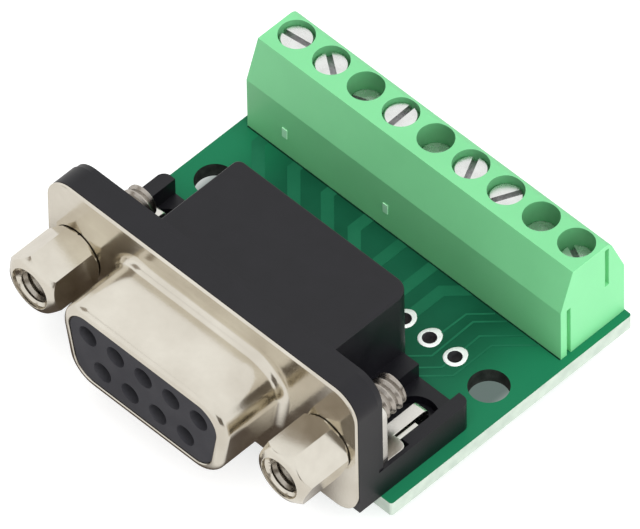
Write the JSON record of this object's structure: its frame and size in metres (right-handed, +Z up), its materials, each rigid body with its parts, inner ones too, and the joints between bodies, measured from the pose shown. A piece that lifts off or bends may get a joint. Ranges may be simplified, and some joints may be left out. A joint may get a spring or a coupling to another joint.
{
  "type": "d-sub terminal block adapter",
  "caption": "Adapter board that joins a female D-sub connector with jackscrews to a screw terminal block, each contact to its own clamping terminal.",
  "frame": {"origin": "centre of the outline, in the plane that the solder pins' ends stand on", "axes": "+Z up from the circuit board, -Y out of the D-sub's mating face, +X to its right when looking along +Y"},
  "size_m": [0.033, 0.0326, 0.0154],
  "materials": {
    "board_green": "green solder mask on glass epoxy, glossy",
    "tinned_plating": "tinned copper, bright",
    "nickel_shell": "nickel plated pressed steel, bright",
    "insulator_dark_grey": "moulded, satin",
    "housing_black": "moulded, fine matte",
    "jackscrew_nickel": "nickel plated, bright",
    "bracket_nickel": "nickel plated sheet, bright",
    "contact_gold": "thin gold over nickel",
    "terminal_green": "moulded, satin",
    "cage_nickel": "nickel plated, bright",
    "screw_steel": "nickel plated steel, bright",
    "plate_steel": "plated steel",
    "solder": "bright solder"
  },
  "bodies": {
    "adapter": {"circuit_board": "board_green", "plated_holes": "tinned_plating", "dsub_shell": "nickel_shell", "dsub_insulator": "insulator_dark_grey", "dsub_housing": "housing_black", "jackscrew_left": "jackscrew_nickel", "jackscrew_right": "jackscrew_nickel", "bracket_left": "bracket_nickel", "bracket_right": "bracket_nickel", "terminal_housing": "terminal_green", "solder_joints": "solder", "socket_contact_1": "contact_gold", "socket_contact_2": "contact_gold", "socket_contact_3": "contact_gold", "socket_contact_4": "contact_gold", "socket_contact_5": "contact_gold", "socket_contact_6": "contact_gold", "socket_contact_7": "contact_gold", "socket_contact_8": "contact_gold", "socket_contact_9": "contact_gold", "terminal_cage_1": "cage_nickel", "terminal_cage_2": "cage_nickel", "terminal_cage_3": "cage_nickel", "terminal_cage_4": "cage_nickel", "terminal_cage_5": "cage_nickel", "terminal_cage_6": "cage_nickel", "terminal_cage_7": "cage_nickel", "terminal_cage_8": "cage_nickel", "terminal_cage_9": "cage_nickel"},
    "plate_1": {"wire_plate_1": "plate_steel"},
    "screw_1": {"terminal_screw_1": "screw_steel"},
    "plate_2": {"wire_plate_2": "plate_steel"},
    "screw_2": {"terminal_screw_2": "screw_steel"},
    "plate_3": {"wire_plate_3": "plate_steel"},
    "screw_3": {"terminal_screw_3": "screw_steel"},
    "plate_4": {"wire_plate_4": "plate_steel"},
    "screw_4": {"terminal_screw_4": "screw_steel"},
    "plate_5": {"wire_plate_5": "plate_steel"},
    "screw_5": {"terminal_screw_5": "screw_steel"},
    "plate_6": {"wire_plate_6": "plate_steel"},
    "screw_6": {"terminal_screw_6": "screw_steel"},
    "plate_7": {"wire_plate_7": "plate_steel"},
    "screw_7": {"terminal_screw_7": "screw_steel"},
    "plate_8": {"wire_plate_8": "plate_steel"},
    "screw_8": {"terminal_screw_8": "screw_steel"},
    "plate_9": {"wire_plate_9": "plate_steel"},
    "screw_9": {"terminal_screw_9": "screw_steel"}
  },
  "joints": [
    {"name": "wire_plate_1_travel", "type": "slide", "parent": "adapter", "child": "plate_1", "axis": [0, 0, -1], "range_m": [-0.00015, 0.00215]},
    {"name": "terminal_screw_1_turn", "type": "hinge", "parent": "plate_1", "child": "screw_1", "pos_m": [-0.014, 0.01324, 0.01145], "axis": [0, 0, -1], "range_deg": [-135.01, 1935.01]},
    {"name": "wire_plate_2_travel", "type": "slide", "parent": "adapter", "child": "plate_2", "axis": [0, 0, -1], "range_m": [-0.0002, 0.0021]},
    {"name": "terminal_screw_2_turn", "type": "hinge", "parent": "plate_2", "child": "screw_2", "pos_m": [-0.0105, 0.01324, 0.0114], "axis": [0, 0, -1], "range_deg": [-180.01, 1890.01]},
    {"name": "wire_plate_3_travel", "type": "slide", "parent": "adapter", "child": "plate_3", "axis": [0, 0, -1], "range_m": [-0.00145, 0.00085]},
    {"name": "terminal_screw_3_turn", "type": "hinge", "parent": "plate_3", "child": "screw_3", "pos_m": [-0.007, 0.01324, 0.01015], "axis": [0, 0, -1], "range_deg": [-1305.01, 765.01]},
    {"name": "wire_plate_4_travel", "type": "slide", "parent": "adapter", "child": "plate_4", "axis": [0, 0, -1], "range_m": [-0.0001, 0.0022]},
    {"name": "terminal_screw_4_turn", "type": "hinge", "parent": "plate_4", "child": "screw_4", "pos_m": [-0.0035, 0.01324, 0.0115], "axis": [0, 0, -1], "range_deg": [-90.01, 1980.01]},
    {"name": "wire_plate_5_travel", "type": "slide", "parent": "adapter", "child": "plate_5", "axis": [0, 0, -1], "range_m": [-0.0016, 0.0007]},
    {"name": "terminal_screw_5_turn", "type": "hinge", "parent": "plate_5", "child": "screw_5", "pos_m": [0, 0.01324, 0.01], "axis": [0, 0, -1], "range_deg": [-1440.01, 630.01]},
    {"name": "wire_plate_6_travel", "type": "slide", "parent": "adapter", "child": "plate_6", "axis": [0, 0, -1], "range_m": [-0.00025, 0.00205]},
    {"name": "terminal_screw_6_turn", "type": "hinge", "parent": "plate_6", "child": "screw_6", "pos_m": [0.0035, 0.01324, 0.01135], "axis": [0, 0, -1], "range_deg": [-225.01, 1845.01]},
    {"name": "wire_plate_7_travel", "type": "slide", "parent": "adapter", "child": "plate_7", "axis": [0, 0, -1], "range_m": [-0.0004, 0.0019]},
    {"name": "terminal_screw_7_turn", "type": "hinge", "parent": "plate_7", "child": "screw_7", "pos_m": [0.007, 0.01324, 0.0112], "axis": [0, 0, -1], "range_deg": [-360.01, 1710.01]},
    {"name": "wire_plate_8_travel", "type": "slide", "parent": "adapter", "child": "plate_8", "axis": [0, 0, -1], "range_m": [-0.00165, 0.00065]},
    {"name": "terminal_screw_8_turn", "type": "hinge", "parent": "plate_8", "child": "screw_8", "pos_m": [0.0105, 0.01324, 0.00995], "axis": [0, 0, -1], "range_deg": [-1485.01, 585.01]},
    {"name": "wire_plate_9_travel", "type": "slide", "parent": "adapter", "child": "plate_9", "axis": [0, 0, -1], "range_m": [-0.0014, 0.0009]},
    {"name": "terminal_screw_9_turn", "type": "hinge", "parent": "plate_9", "child": "screw_9", "pos_m": [0.014, 0.01324, 0.0102], "axis": [0, 0, -1], "range_deg": [-1260.01, 810.01]}
  ],
  "couplings": [
    {"joint": "terminal_screw_1_turn", "follows": "wire_plate_1_travel", "rad_per_m": 15708},
    {"joint": "terminal_screw_2_turn", "follows": "wire_plate_2_travel", "rad_per_m": 15708},
    {"joint": "terminal_screw_3_turn", "follows": "wire_plate_3_travel", "rad_per_m": 15708},
    {"joint": "terminal_screw_4_turn", "follows": "wire_plate_4_travel", "rad_per_m": 15708},
    {"joint": "terminal_screw_5_turn", "follows": "wire_plate_5_travel", "rad_per_m": 15708},
    {"joint": "terminal_screw_6_turn", "follows": "wire_plate_6_travel", "rad_per_m": 15708},
    {"joint": "terminal_screw_7_turn", "follows": "wire_plate_7_travel", "rad_per_m": 15708},
    {"joint": "terminal_screw_8_turn", "follows": "wire_plate_8_travel", "rad_per_m": 15708},
    {"joint": "terminal_screw_9_turn", "follows": "wire_plate_9_travel", "rad_per_m": 15708}
  ]
}
